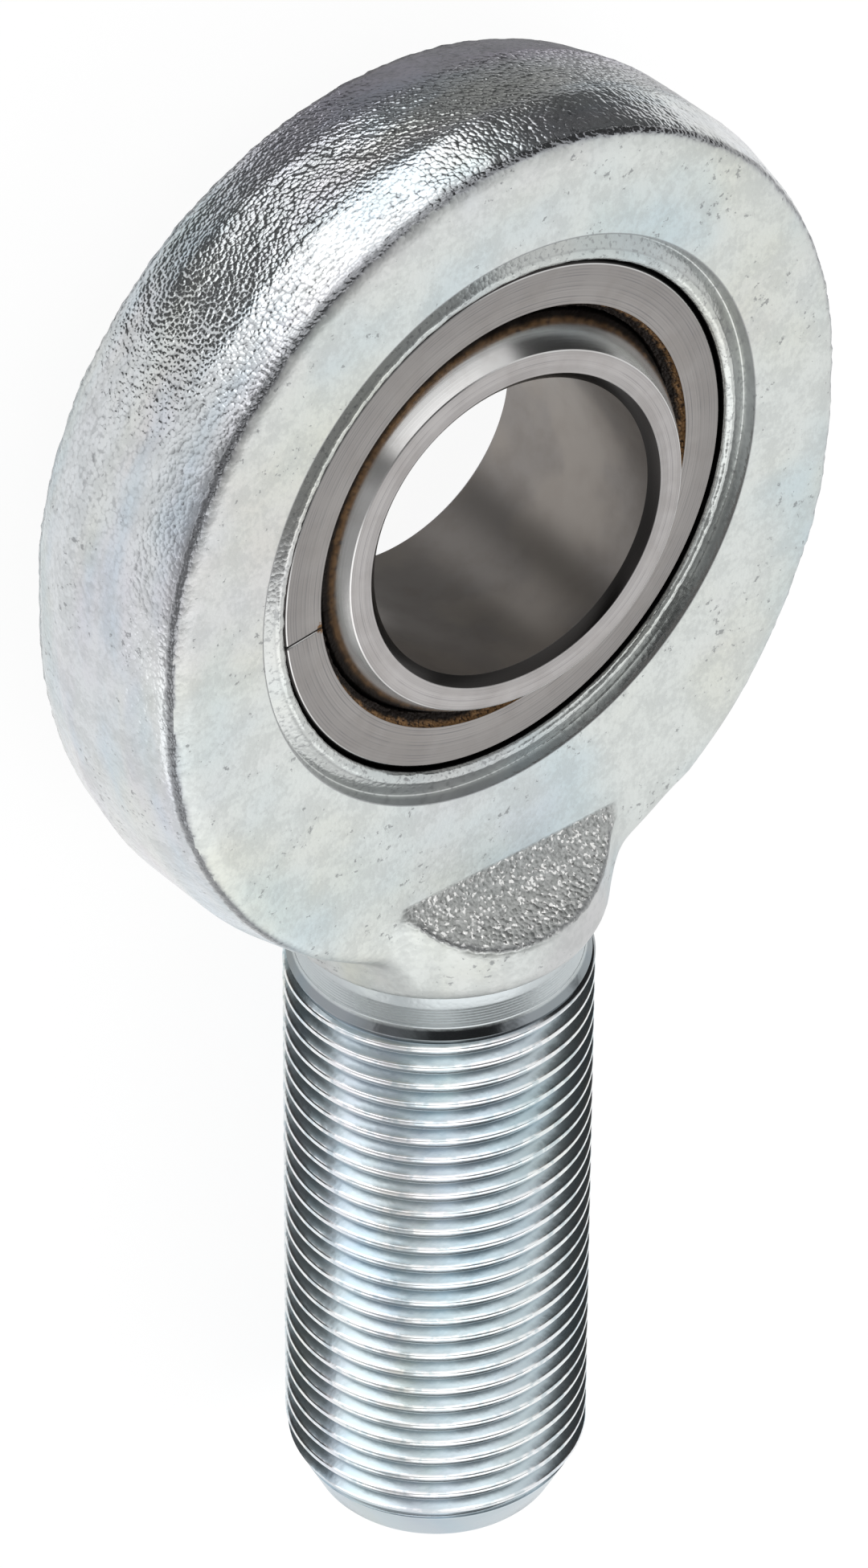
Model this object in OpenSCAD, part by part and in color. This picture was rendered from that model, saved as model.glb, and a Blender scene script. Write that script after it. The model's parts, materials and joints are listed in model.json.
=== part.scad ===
// Male rod end: a forged eye on a threaded shank, holding a plain spherical bearing.
// Millimetres. The origin is the centre of the ball, +Z is the axis of the eye,
// and the shank runs along -Y.

/* [Bearing] */
// Diameter of the bore through the inner ring
bore_d = 20; // [17:0.5:23]
// Width of the inner ring, face to face
inner_ring_w = 16; // [13.5:0.5:18]
// Bevel at both ends of the bore
bore_bevel = 0.6; // [0.2:0.1:1]
// Wall of the inner ring between its bore and the widest part of the ball
inner_ring_wall = 4.5; // [4:0.25:5.5]
// Running clearance between the ball and its liner, on the radius
ball_clearance = 0.05; // [0.02:0.01:0.1]
// Thickness of the bronze liner
liner_t = 1; // [0.5:0.1:1.2]
// Depth of the bevel that opens both ends of the liner
liner_bevel = 0.85; // [0.3:0.05:1.2]
// Width of the outer ring
outer_ring_w = 12; // [10:0.5:12.5]
// Wall of the outer ring outside its liner, at mid width
outer_ring_wall = 1.95; // [1.5:0.05:2.6]
// Bevel on the outer edges of the outer ring
outer_ring_bevel = 0.5; // [0.3:0.1:0.8]
// Width of the split that lets the outer ring open round the ball
split_w = 0.08; // [0.04:0.02:0.3]
// Direction of the split, counted from +X
split_angle = 186; // [160:1:200]

/* [Stored pose] */
// Lean of the inner ring from its neutral place
ring_lean = 5.9; // [0:0.1:9]
// Direction in which the inner ring's upper end leans, counted from +X
ring_lean_direction = 152; // [0:1:359]

/* [Eye] */
// Widest diameter of the eye, across its middle band
eye_d = 54; // [51:0.5:60]
// Thickness of the eye, face to face
eye_t = 13.5; // [13:0.25:16]
// Height of the straight band round the middle of the rim
rim_band = 5.8; // [3:0.2:8]
// How far the rim is drawn in from the band to each face
rim_draft = 0.8; // [0.3:0.1:1.5]
// Height of the worn edge between the rim and each face
rim_edge_h = 0.4; // [0.2:0.05:0.8]
// Width of the worn edge between the rim and each face
rim_edge_w = 0.3; // [0.1:0.05:0.8]
// How far the rim stays parallel below the ball's centre before it closes on the neck
cheek_drop = 3.5; // [1:0.1:6]
// How much larger the cheek's radius is than the eye's
cheek_extra_r = 2.7; // [1.5:0.1:5]

/* [Staked lip] */
// How far the lip reaches in over the outer ring
lip_reach = 0.15; // [0.1:0.05:0.25]
// Width of the lip's sloping top
lip_w = 0.75; // [0.5:0.05:1]
// Depth of the lip's inner edge below the face
lip_drop = 0.55; // [0.45:0.05:0.6]
// Depth of the lip's crest below the face
crest_drop = 0.36; // [0.2:0.02:0.44]
// Width of the groove's inner wall
groove_inner_w = 0.62; // [0.4:0.02:0.9]
// Width of the groove's outer wall
groove_outer_w = 0.7; // [0.4:0.02:1]
// Depth of the groove's bottom below the face
groove_depth = 0.57; // [0.46:0.01:0.8]
// Depth of the groove's outer edge below the face
groove_edge_drop = 0.38; // [0.2:0.02:0.44]
// Width of the rolled edge from the groove up to the face
roll_w = 0.85; // [0.4:0.05:1.5]

/* [Neck] */
// Diameter of the turned neck
neck_d = 21.5; // [21:0.1:23]
// Distance from the ball's centre to the foot of the neck
neck_end = 33.6; // [33:0.1:35.4]
// Length of the shoulder that rounds the neck off
shoulder_l = 1.7; // [1:0.1:2]
// Radius of the hollow where the cheeks meet the neck
cheek_fillet_r = 4; // [2:0.5:5]
// Radius of the blend between each face and the round of the neck
face_blend_r = 4; // [2:0.5:6]
// Distance from the ball's centre to the straight edge of the forged hollow
hollow_start = 25.5; // [24.5:0.1:26]
// Radius of the forged hollow between each face and the neck
hollow_r = 8.6; // [8:0.1:12]
// Slope at which the hollow leaves the face, in degrees
hollow_slope = 27; // [20:1:30]

/* [Shank] */
// Outer diameter of the shank over its thread crests
thread_d = 19.75; // [19.65:0.05:20.4]
// Diameter of the turned relief between the neck and the thread
relief_d = 18.6; // [17:0.1:19]
// Distance from the ball's centre to the end of the relief
relief_end = 36; // [35.8:0.1:38]
// Length of the cone from the relief up to the thread
run_in_l = 0.9; // [0.4:0.1:1.5]
// Distance from the ball's centre to the end of the shank
shank_end = 80; // [70:0.5:100]
// Length of the cone at the end of the shank
tip_cone_l = 4; // [2:0.1:5]
// Diameter of the end face
tip_d = 15.7; // [14:0.1:17]
// Bevel round the end face
tip_bevel = 0.3; // [0.1:0.1:0.8]

/* [Hidden] */
$fn = 180;
// Overlap that keeps joined or cut faces from coinciding
eps = 1;

ball_r = bore_d / 2 + inner_ring_wall;
liner_bore_r = ball_r + ball_clearance;
ring_seat_r = liner_bore_r + liner_t;
outer_r = ring_seat_r + outer_ring_wall;

eye_half_t = eye_t / 2;
band_r = eye_d / 2;
rim_edge_r = band_r - rim_draft;
face_r = rim_edge_r - rim_edge_w;

lip_r = outer_r - lip_reach;
lip_base_z = outer_ring_w / 2 - outer_ring_bevel;
crest_r = lip_r + lip_w;
groove_r = crest_r + groove_inner_w;
groove_edge_r = groove_r + groove_outer_w;
roll_r = groove_edge_r + roll_w;

neck_r = neck_d / 2;
relief_r = relief_d / 2;
thread_r = thread_d / 2;
tip_r = tip_d / 2;
// Centre of the round cut that forms the hollow, along the shank and above the mid plane
hollow_centre_s = hollow_start - hollow_r * sin(hollow_slope);
hollow_centre_z = eye_half_t + hollow_r * cos(hollow_slope);
// How deep the face blend dips into the face and the neck, so that they cross
blend_dip = 0.03;
// Centre of the face blend, and the height at which it meets the neck
blend_centre_z = eye_half_t + face_blend_r - blend_dip;
blend_centre_x = sqrt(pow(neck_r + face_blend_r - blend_dip, 2) - pow(blend_centre_z, 2));
blend_top_z = blend_centre_z * neck_r / (neck_r + face_blend_r);
// Where the cheek's fillet leaves the neck, and how far round it runs
fillet_end = neck_end - shoulder_l;
fillet_turn = 60;

// Half section of the eye out to its drafted rim, moved out by extra
function rim_section(extra) = [
    [0, -eye_half_t],
    [face_r + extra, -eye_half_t],
    [rim_edge_r + extra, -eye_half_t + rim_edge_h],
    [band_r + extra, -rim_band / 2],
    [band_r + extra, rim_band / 2],
    [rim_edge_r + extra, eye_half_t - rim_edge_h],
    [face_r + extra, eye_half_t],
    [0, eye_half_t],
];

// Points on a round arc in a section plane
function arc_points(centre, r, from, to, steps) = [
    for (i = [0 : steps])
        let (a = from + (to - from) * i / steps)
            [centre[0] + r * cos(a), centre[1] + r * sin(a)]
];

// Section of the bearing seat and the staked lip, for the upper half
seat_section = [
    [0, -eps],
    [outer_r, -eps],
    [outer_r, lip_base_z],
    [lip_r, lip_base_z + lip_reach],
    [lip_r, eye_half_t - lip_drop],
    [crest_r, eye_half_t - crest_drop],
    [groove_r, eye_half_t - groove_depth],
    [groove_edge_r, eye_half_t - groove_edge_drop],
    [roll_r, eye_half_t],
    [roll_r, eye_half_t + eps],
    [0, eye_half_t + eps],
];

// Turned section of the neck and shank: radius against distance from the ball's centre
shank_section = [
    [0, hollow_start - eps],
    [neck_r, hollow_start - eps],
    [neck_r, neck_end - shoulder_l],
    [neck_r - (neck_r - relief_r) / 4, neck_end - shoulder_l / 2],
    [relief_r, neck_end],
    [relief_r, relief_end],
    [thread_r, relief_end + run_in_l],
    [thread_r, shank_end - tip_cone_l],
    [tip_r + tip_bevel, shank_end - tip_bevel],
    [tip_r, shank_end],
    [0, shank_end],
];

// Turns a section about the shank's axis
module turn_about_shank() {
    rotate([90, 0, 0]) rotate_extrude() children();
}

// Round upper part of the eye
module eye_crown() {
    rotate_extrude(angle = 180) polygon(rim_section(0));
}

// Straight stretch of the rim below the ball's centre
module eye_sides() {
    rotate([90, 0, 0])
        linear_extrude(cheek_drop)
            union() {
                polygon(rim_section(0));
                mirror([1, 0]) polygon(rim_section(0));
            }
}

// One cheek, which closes from the eye's side down to the neck
module cheek() {
    intersection() {
        translate([-cheek_extra_r, -cheek_drop, 0])
            rotate([0, 0, -90])
                rotate_extrude(angle = 90) polygon(rim_section(cheek_extra_r));
        translate([0, -neck_end, -eye_t])
            cube([eye_d, neck_end, 2 * eye_t]);
    }
}

// Lengthwise ridge that carries each face up to the round of the neck in a hollow curve
module face_blend() {
    difference() {
        translate([-blend_centre_x, -fillet_end, -blend_top_z])
            cube([2 * blend_centre_x, fillet_end, 2 * blend_top_z]);
        for (x = [-1, 1], z = [-1, 1])
            translate([x * blend_centre_x, eps, z * blend_centre_z])
                rotate([90, 0, 0]) cylinder(r = face_blend_r, h = shank_end);
    }
}

// Hollow corners where the cheeks and the faces run into the neck
module neck_blend() {
    centre = [neck_r + cheek_fillet_r, fillet_end];
    hollow = arc_points(centre, cheek_fillet_r, 180, 180 + fillet_turn, 24);
    last = hollow[len(hollow) - 1];
    intersection() {
        turn_about_shank()
            polygon(concat(
                [[0, fillet_end]],
                hollow,
                [[last[0], hollow_start - eps], [0, hollow_start - eps]]
            ));
        union() {
            cube([eye_d, 2 * shank_end, eye_t], center = true);
            face_blend();
        }
    }
}

// Turned neck, relief, thread body and end cone, with a forged hollow on each face
module neck_and_shank() {
    difference() {
        union() {
            turn_about_shank() polygon(shank_section);
            neck_blend();
        }
        for (side = [-1, 1])
            translate([-eye_d / 2, -hollow_centre_s, side * hollow_centre_z])
                rotate([0, 90, 0]) cylinder(r = hollow_r, h = eye_d);
    }
}

// Room for the bearing, with the staked lip left standing at both faces
module bearing_seat() {
    for (side = [0, 1])
        mirror([0, 0, side]) rotate_extrude() polygon(seat_section);
}

// Split through the ring and liner, on one side only
module ring_split() {
    rotate([0, 0, split_angle])
        translate([0, -split_w / 2, -outer_ring_w])
            cube([2 * outer_r, split_w, 2 * outer_ring_w]);
}

// Forged and zinc plated body: eye, neck and shank in one piece
module housing() {
    color([0.80, 0.82, 0.82])
        difference() {
            union() {
                eye_crown();
                eye_sides();
                cheek();
                mirror([1, 0, 0]) cheek();
                neck_and_shank();
            }
            bearing_seat();
        }
}

// Steel outer ring, ground outside and hollowed to a ball seat inside
module outer_ring() {
    half_w = outer_ring_w / 2;
    color([0.55, 0.54, 0.53])
        difference() {
            rotate_extrude()
                polygon([
                    [0, -half_w],
                    [outer_r - outer_ring_bevel, -half_w],
                    [outer_r, -half_w + outer_ring_bevel],
                    [outer_r, half_w - outer_ring_bevel],
                    [outer_r - outer_ring_bevel, half_w],
                    [0, half_w],
                ]);
            sphere(r = ring_seat_r);
            ring_split();
        }
}

// Bronze liner bonded inside the outer ring
module liner() {
    half_w = outer_ring_w / 2;
    mouth_r = sqrt(pow(ring_seat_r, 2) - pow(half_w, 2));
    color([0.50, 0.36, 0.20])
        difference() {
            intersection() {
                sphere(r = ring_seat_r);
                cylinder(r = outer_r, h = outer_ring_w, center = true);
            }
            sphere(r = liner_bore_r);
            for (side = [0, 1])
                mirror([0, 0, side])
                    translate([0, 0, half_w - liner_bevel])
                        cylinder(r1 = mouth_r - liner_bevel, r2 = mouth_r, h = liner_bevel);
            ring_split();
        }
}

// Inner ring: a ball cut flat at both ends and bored through
module inner_ring() {
    half_w = inner_ring_w / 2;
    color([0.62, 0.61, 0.60])
        rotate([0, 0, ring_lean_direction])
            rotate([0, ring_lean, 0])
                difference() {
                    intersection() {
                        sphere(r = ball_r);
                        cylinder(r = ball_r + eps, h = inner_ring_w, center = true);
                    }
                    cylinder(d = bore_d, h = inner_ring_w + 2 * eps, center = true);
                    for (side = [0, 1])
                        mirror([0, 0, side])
                            translate([0, 0, half_w - bore_bevel])
                                cylinder(
                                    r1 = bore_d / 2,
                                    r2 = bore_d / 2 + bore_bevel + eps,
                                    h = bore_bevel + eps
                                );
                }
}

housing();
outer_ring();
liner();
inner_ring();
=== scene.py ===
"""Looks, studio and camera for a male rod end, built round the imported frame.

Sizes in the classes are in millimetres and become metres where a mesh is made. The frame's
origin is the ball's centre, +Z is the eye's axis and the shank runs along -Y.
"""

import json
import logging
import math
from dataclasses import dataclass
from enum import Enum
from functools import partial, reduce
from typing import Callable, Sequence

import bmesh
import bpy
from mathutils import Matrix, Vector

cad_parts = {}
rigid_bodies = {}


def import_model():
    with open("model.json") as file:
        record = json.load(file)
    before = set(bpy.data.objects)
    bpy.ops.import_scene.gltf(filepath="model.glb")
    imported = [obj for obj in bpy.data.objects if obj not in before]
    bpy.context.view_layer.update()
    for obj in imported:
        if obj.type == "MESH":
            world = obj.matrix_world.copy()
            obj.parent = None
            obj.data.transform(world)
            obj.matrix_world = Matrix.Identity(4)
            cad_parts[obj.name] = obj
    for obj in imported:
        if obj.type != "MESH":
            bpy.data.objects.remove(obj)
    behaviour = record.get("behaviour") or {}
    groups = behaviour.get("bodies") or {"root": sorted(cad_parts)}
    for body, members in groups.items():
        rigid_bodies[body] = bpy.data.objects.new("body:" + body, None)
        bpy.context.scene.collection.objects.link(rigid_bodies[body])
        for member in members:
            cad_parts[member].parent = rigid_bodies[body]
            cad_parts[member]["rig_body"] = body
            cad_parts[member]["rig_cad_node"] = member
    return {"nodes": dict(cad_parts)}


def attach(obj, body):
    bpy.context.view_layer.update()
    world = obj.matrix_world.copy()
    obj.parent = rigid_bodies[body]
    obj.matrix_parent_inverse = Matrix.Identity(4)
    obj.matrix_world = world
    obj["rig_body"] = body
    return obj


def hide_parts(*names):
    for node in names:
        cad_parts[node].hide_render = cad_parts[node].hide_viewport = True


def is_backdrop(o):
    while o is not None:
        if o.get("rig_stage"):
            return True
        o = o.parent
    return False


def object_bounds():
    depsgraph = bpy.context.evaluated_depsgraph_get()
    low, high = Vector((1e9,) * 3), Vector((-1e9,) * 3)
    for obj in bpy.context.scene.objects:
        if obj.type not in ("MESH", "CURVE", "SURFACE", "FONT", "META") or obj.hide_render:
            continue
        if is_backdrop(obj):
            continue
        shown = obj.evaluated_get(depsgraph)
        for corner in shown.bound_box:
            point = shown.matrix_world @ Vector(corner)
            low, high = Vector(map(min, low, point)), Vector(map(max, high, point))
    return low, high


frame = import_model()
LOG = logging.getLogger("rod_end")

MM = 0.001
PHOTO_WIDTH = 1080
PHOTO_HEIGHT = 1951
UP = Vector((0, 0, 1))
SHANK_UP = Vector((0, 1, 0))

Point = tuple[float, float]
Span = tuple[float, float]
Colour = tuple[float, float, float]
Piece = bpy.types.Object
Material = bpy.types.Material
Node = bpy.types.Node
Socket = bpy.types.NodeSocket
Sockets = bpy.types.bpy_prop_collection


class Axis(Enum):
    """Axes that a turned part can be spun about, each with the direction its radius starts in."""

    EYE = (UP, Vector((1, 0, 0)))
    SHANK = (-SHANK_UP, Vector((1, 0, 0)))


class Operation(Enum):
    """Ways to combine two closed meshes."""

    UNITE = "UNION"
    CUT = "DIFFERENCE"
    COMMON = "INTERSECT"


def clear_selection() -> None:
    """Leave edit mode and deselect every object."""
    if bpy.context.object and bpy.context.object.mode != "OBJECT":
        bpy.ops.object.mode_set(mode="OBJECT")
    bpy.ops.object.select_all(action="DESELECT")


def activate(piece: Piece) -> None:
    """Make one piece the only selected object and the active one.

    Args:
        piece: The object to work on.
    """
    clear_selection()
    piece.select_set(True)
    bpy.context.view_layer.objects.active = piece


def modify(piece: Piece, name: str, kind: str, **settings: object) -> None:
    """Add one modifier to a piece and apply it.

    Args:
        piece: The mesh.
        name: Name of the modifier.
        kind: Its type.
        settings: Its properties.
    """
    modifier = piece.modifiers.new(name, kind)
    for key, value in settings.items():
        setattr(modifier, key, value)
    activate(piece)
    bpy.ops.object.modifier_apply(modifier=modifier.name)


def merge_doubles(piece: Piece, apart: float) -> None:
    """Merge a piece's doubled vertices, and stay in edit mode with all of it selected.

    Args:
        piece: The mesh.
        apart: Largest distance between doubles in metres.
    """
    activate(piece)
    bpy.ops.object.mode_set(mode="EDIT")
    bpy.ops.mesh.select_all(action="SELECT")
    bpy.ops.mesh.remove_doubles(threshold=apart)


def combine(piece: Piece, tool: Piece, operation: Operation) -> None:
    """Combine a piece with a closed tool mesh, and remove the tool.

    Args:
        piece: The mesh that is kept.
        tool: The mesh that cuts it, joins it or bounds it.
        operation: How the two are combined.
    """
    modify(piece, "combine", "BOOLEAN", operation=operation.value, object=tool, solver="MANIFOLD")
    bpy.data.objects.remove(tool)


def draw_profile(name: str, places: Sequence[Vector]) -> Piece:
    """Draw a line of vertices by extruding one vertex from place to place.

    Args:
        name: Name of the new object.
        places: Places of the line's vertices in metres.

    Returns:
        The object with the line, still in edit mode.
    """
    clear_selection()
    bpy.ops.mesh.primitive_plane_add(size=MM, location=places[0])
    piece = bpy.context.object
    piece.name = name
    bpy.ops.object.transform_apply(location=True, rotation=True, scale=True)
    bpy.ops.object.mode_set(mode="EDIT")
    bpy.ops.mesh.select_all(action="SELECT")
    bpy.ops.mesh.merge(type="CENTER")
    for before, after in zip(places, places[1:]):
        bpy.ops.mesh.extrude_region_move(TRANSFORM_OT_translate={"value": after - before})
    return piece


def finish_surface(piece: Piece, smooth_angle: float) -> None:
    """Merge doubles, turn the faces outwards and smooth the shading.

    Args:
        piece: The mesh to finish.
        smooth_angle: Largest angle between faces that is shaded smooth, in degrees.
    """
    merge_doubles(piece, 2e-7)
    bpy.ops.mesh.normals_make_consistent(inside=False)
    bpy.ops.object.mode_set(mode="OBJECT")
    bpy.ops.object.shade_smooth_by_angle(angle=math.radians(smooth_angle))


def turn(
    name: str,
    section: Sequence[Point],
    axis: Vector,
    across: Vector,
    steps: int,
    smooth_angle: float = 30,
    closed: bool = False,
) -> Piece:
    """Turn a section about an axis through the origin.

    Args:
        name: Name of the new object.
        section: Points of radius and height along the axis, in millimetres.
        axis: Direction of the axis.
        across: Direction in which the radius is measured.
        steps: Steps of the full turn.
        smooth_angle: Largest angle between faces that is shaded smooth, in degrees.
        closed: True where the last point joins the first.

    Returns:
        The turned object.
    """
    points = list(section) + ([section[0]] if closed else [])
    places = [(across * r + axis * h) * MM for r, h in points]
    piece = draw_profile(name, places)
    bpy.ops.mesh.select_all(action="SELECT")
    bpy.ops.mesh.remove_doubles(threshold=1e-7)
    bpy.ops.mesh.select_all(action="SELECT")
    bpy.ops.mesh.spin(
        steps=steps, angle=2 * math.pi, center=(0, 0, 0), axis=axis, use_auto_merge=True
    )
    finish_surface(piece, smooth_angle)
    return piece


def arc(radius: float, start: float, end: float, steps: int) -> list[Point]:
    """Points on an arc round the origin of a section, from one angle to another in degrees."""
    angles = [math.radians(start + (end - start) * i / steps) for i in range(steps + 1)]
    return [(radius * math.cos(a), radius * math.sin(a)) for a in angles]


def weigh(piece: Piece, name: str, weight: Callable[[Vector], float]) -> str:
    """Give a piece a vertex group whose weights follow from the places of its vertices.

    Args:
        piece: The mesh.
        name: Name of the group.
        weight: Weight from 0 to 1 for a place in millimetres.

    Returns:
        The group's name.
    """
    group = piece.vertex_groups.new(name=name)
    for vertex in piece.data.vertices:
        value = weight(vertex.co / MM)
        if value > 0.001:
            group.add([vertex.index], min(value, 1.0), "REPLACE")
    return group.name


def ramp(value: float, low: float, high: float) -> float:
    """Smooth step from 0 at one value to 1 at another.

    Args:
        value: The value to judge.
        low: Where the step starts.
        high: Where it ends, which may be below the start.

    Returns:
        A share from 0 to 1.
    """
    share = max(0.0, min(1.0, (value - low) / (high - low)))
    return share * share * (3 - 2 * share)


def roughen(piece: Piece, group: str, size: float, depth: float, middle: float = 1.0) -> None:
    """Move the vertices of a group in and out with a cloudy pattern.

    Args:
        piece: The mesh.
        group: Vertex group that limits the effect.
        size: Size of the pattern's lumps in millimetres.
        depth: Full height of the effect in millimetres.
        middle: The pattern's value that stays in place; at 1 all else goes inwards.
    """
    texture = bpy.data.textures.new(group + " clouds", "CLOUDS")
    texture.noise_scale = size * MM
    look = {"texture": texture, "texture_coords": "LOCAL", "vertex_group": group}
    modify(piece, "roughen", "DISPLACE", **look, strength=depth * MM, mid_level=middle)
    bpy.data.textures.remove(texture)


@dataclass(frozen=True)
class Coat:
    """A colour that lies over another, with its largest share."""

    share: float
    colour: Colour


class Shader:
    """A small bench for wiring one node tree."""

    def __init__(self, tree: bpy.types.NodeTree) -> None:
        """Take the tree to wire."""
        self.tree = tree

    def feed(self, inputs: Sockets, values: dict[int | str, object]) -> None:
        """Set inputs to constants, or link them to other sockets.

        Args:
            inputs: A node's inputs.
            values: Name or number of each to its value, where None leaves it as it is.
        """
        for key, value in values.items():
            if isinstance(value, Socket):
                self.tree.links.new(value, inputs[key])
            elif value is not None:
                opaque = inputs[key].type == "RGBA" and len(value) == 3
                inputs[key].default_value = (*value, 1.0) if opaque else value

    def add(self, kind: str, inputs: dict[int | str, object] | None = None, **settings: object) -> Node:
        """Add a node, set its properties and feed its inputs.

        Args:
            kind: Node type without the ShaderNode prefix.
            inputs: Name or number of each input to its value.
            settings: Properties of the node.

        Returns:
            The new node.
        """
        node = self.tree.nodes.new("ShaderNode" + kind)
        for key, value in settings.items():
            setattr(node, key, value)
        self.feed(node.inputs, inputs or {})
        return node

    def math(self, operation: str, a: object, b: object = None) -> Socket:
        """Result of a Math node."""
        return self.add("Math", {0: a, 1: b}, operation=operation).outputs[0]

    def times(self, first: object, *others: object) -> Socket:
        """Product of two or more values."""
        return reduce(partial(self.math, "MULTIPLY"), others, first)

    def most(self, first: object, *others: object) -> Socket:
        """Largest of two or more values."""
        return reduce(partial(self.math, "MAXIMUM"), others, first)

    def plus(self, a: object, b: object) -> Socket:
        """Sum of two values."""
        return self.math("ADD", a, b)

    def minus(self, a: object, b: object) -> Socket:
        """Difference of two values."""
        return self.math("SUBTRACT", a, b)

    def unsigned(self, value: object) -> Socket:
        """A value without its sign."""
        return self.math("ABSOLUTE", value)

    def length(self, a: object, b: object) -> Socket:
        """Length of two values at a right angle."""
        return self.math("SQRT", self.plus(self.times(a, a), self.times(b, b)))

    def step(self, value: object, limits: Span, results: Span = (0, 1)) -> Socket:
        """Smooth step of a value, from one result at the first limit to another at the second."""
        inputs = dict(enumerate((value, *limits, *results)))
        return self.add("MapRange", inputs, interpolation_type="SMOOTHSTEP", clamp=True).outputs[0]

    def zone(self, value: object, limits: Span, results: Span = (0, 1)) -> Socket:
        """Smooth step of a distance, with its limits in millimetres."""
        return self.step(value, (limits[0] * MM, limits[1] * MM), results)

    def strip(self, value: object, rise: Span, fall: Span) -> Socket:
        """Share inside a strip of distances, which rises over one span and falls over another."""
        return self.times(self.zone(value, rise), self.zone(value, fall))

    def sector(self, out: Socket, middle: float, halves: Span, results: Span) -> Socket:
        """Smooth step of the angle round the eye, in degrees to either side of a middle."""
        turned = self.math("DIVIDE", self.along(self.place(), around(UP, middle)), out)
        return self.step(turned, tuple(math.cos(math.radians(half)) for half in halves), results)

    def blend(self, share: object, a: object, b: object, kind: str = "MIX") -> Socket:
        """Colour between two, with a share of the second."""
        look = {"data_type": "RGBA", "blend_type": kind, "clamp_factor": True}
        return self.add("Mix", {"Factor": share, 6: a, 7: b}, **look).outputs[2]

    def paint(self, under: object, mask: object, coat: Coat) -> Socket:
        """A colour with a coat over it where a mask shows it."""
        return self.blend(self.times(mask, coat.share), under, coat.colour)

    def place(self) -> Socket:
        """Object coordinates of the shaded point."""
        return self.add("TexCoord").outputs["Object"]

    def normal(self) -> Socket:
        """Direction of the shaded surface."""
        return self.add("NewGeometry").outputs["Normal"]

    def scale(self, size: object) -> object:
        """Texture scale for a size in millimetres, as a number or a socket."""
        return self.math("DIVIDE", 1 / MM, size) if isinstance(size, Socket) else 1 / (size * MM)

    def noise(self, size: object, detail: float = 2, rough: float = 0.5, at: Socket | None = None) -> Socket:
        """Noise with lumps of a size in millimetres, finer levels and their weight."""
        inputs = {"Scale": self.scale(size), "Detail": detail, "Roughness": rough}
        return self.add("TexNoise", inputs | {"Vector": at or self.place()}).outputs["Fac"]

    def cells(self, size: object) -> Sockets:
        """Distance, colour and place of round cells of a size in millimetres."""
        inputs = {"Vector": self.place(), "Scale": self.scale(size)}
        return self.add("TexVoronoi", inputs, feature="F1").outputs

    def bump(self, height: Socket, depth: float, strength: float = 1.0, under: object = None) -> Socket:
        """Normal of a bump of a depth in millimetres, which may lie over another bump's."""
        inputs = {"Strength": strength, "Distance": depth * MM, "Height": height, "Normal": under}
        return self.add("Bump", inputs).outputs[0]

    def split(self, vector: Socket) -> tuple[Socket, ...]:
        """X, Y and Z of a vector."""
        return tuple(self.add("SeparateXYZ", {0: vector}).outputs)

    def along(self, vector: Socket, direction: object) -> Socket:
        """Length of a vector along a direction, which is a unit vector or a socket."""
        return self.add("VectorMath", {0: vector, 1: direction}, operation="DOT_PRODUCT").outputs["Value"]

    def use(self, group: bpy.types.NodeTree, **values: object) -> Sockets:
        """Outputs of a node group that is placed with its own values."""
        inputs = {key.replace("_", " "): value for key, value in values.items()}
        return self.add("Group", inputs, node_tree=group).outputs


def new_group(
    name: str, inputs: dict[str, object], outputs: Sequence[str]
) -> tuple[bpy.types.NodeTree, Shader, Sockets, Sockets]:
    """Make a shader node group with named sockets.

    Args:
        name: The group's name.
        inputs: Name of each input to its default, a number or a colour.
        outputs: Names of the outputs; one named Colour is a colour, the others are numbers.

    Returns:
        The group's tree, its wiring bench, and the sockets inside it for its inputs and outputs.
    """
    tree = bpy.data.node_groups.new(name, "ShaderNodeTree")
    for key, default in inputs.items():
        kind = "NodeSocketColor" if isinstance(default, tuple) else "NodeSocketFloat"
        tree.interface.new_socket(name=key, in_out="INPUT", socket_type=kind).default_value = default
    for key in outputs:
        kind = "NodeSocketColor" if key == "Colour" else "NodeSocketFloat"
        tree.interface.new_socket(name=key, in_out="OUTPUT", socket_type=kind)
    given = tree.nodes.new("NodeGroupInput").outputs
    return tree, Shader(tree), given, tree.nodes.new("NodeGroupOutput").inputs


@dataclass(frozen=True)
class SurfaceEffects:
    """Effects that several finishes share, each a node group."""

    grain: bpy.types.NodeTree
    tint: bpy.types.NodeTree
    scuffs: bpy.types.NodeTree


def make_grain_group() -> bpy.types.NodeTree:
    """Forged and blasted grain: close-packed pebbles on larger lumps, and a mask of the pits.

    Returns:
        The node group.
    """
    sizes = {"Grain size": 0.3, "Lump size": 0.9}
    tree, bench, given, result = new_group("forged grain", sizes, ("Height", "Pits"))
    distance = bench.cells(given["Grain size"])["Distance"]
    pebbles = bench.minus(1.0, bench.times(distance, distance))
    height = bench.plus(bench.times(pebbles, 0.60), bench.noise(given["Lump size"], 3))
    bench.feed(result, {"Height": height, "Pits": bench.step(distance, (0.50, 0.85))})
    return tree


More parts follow.
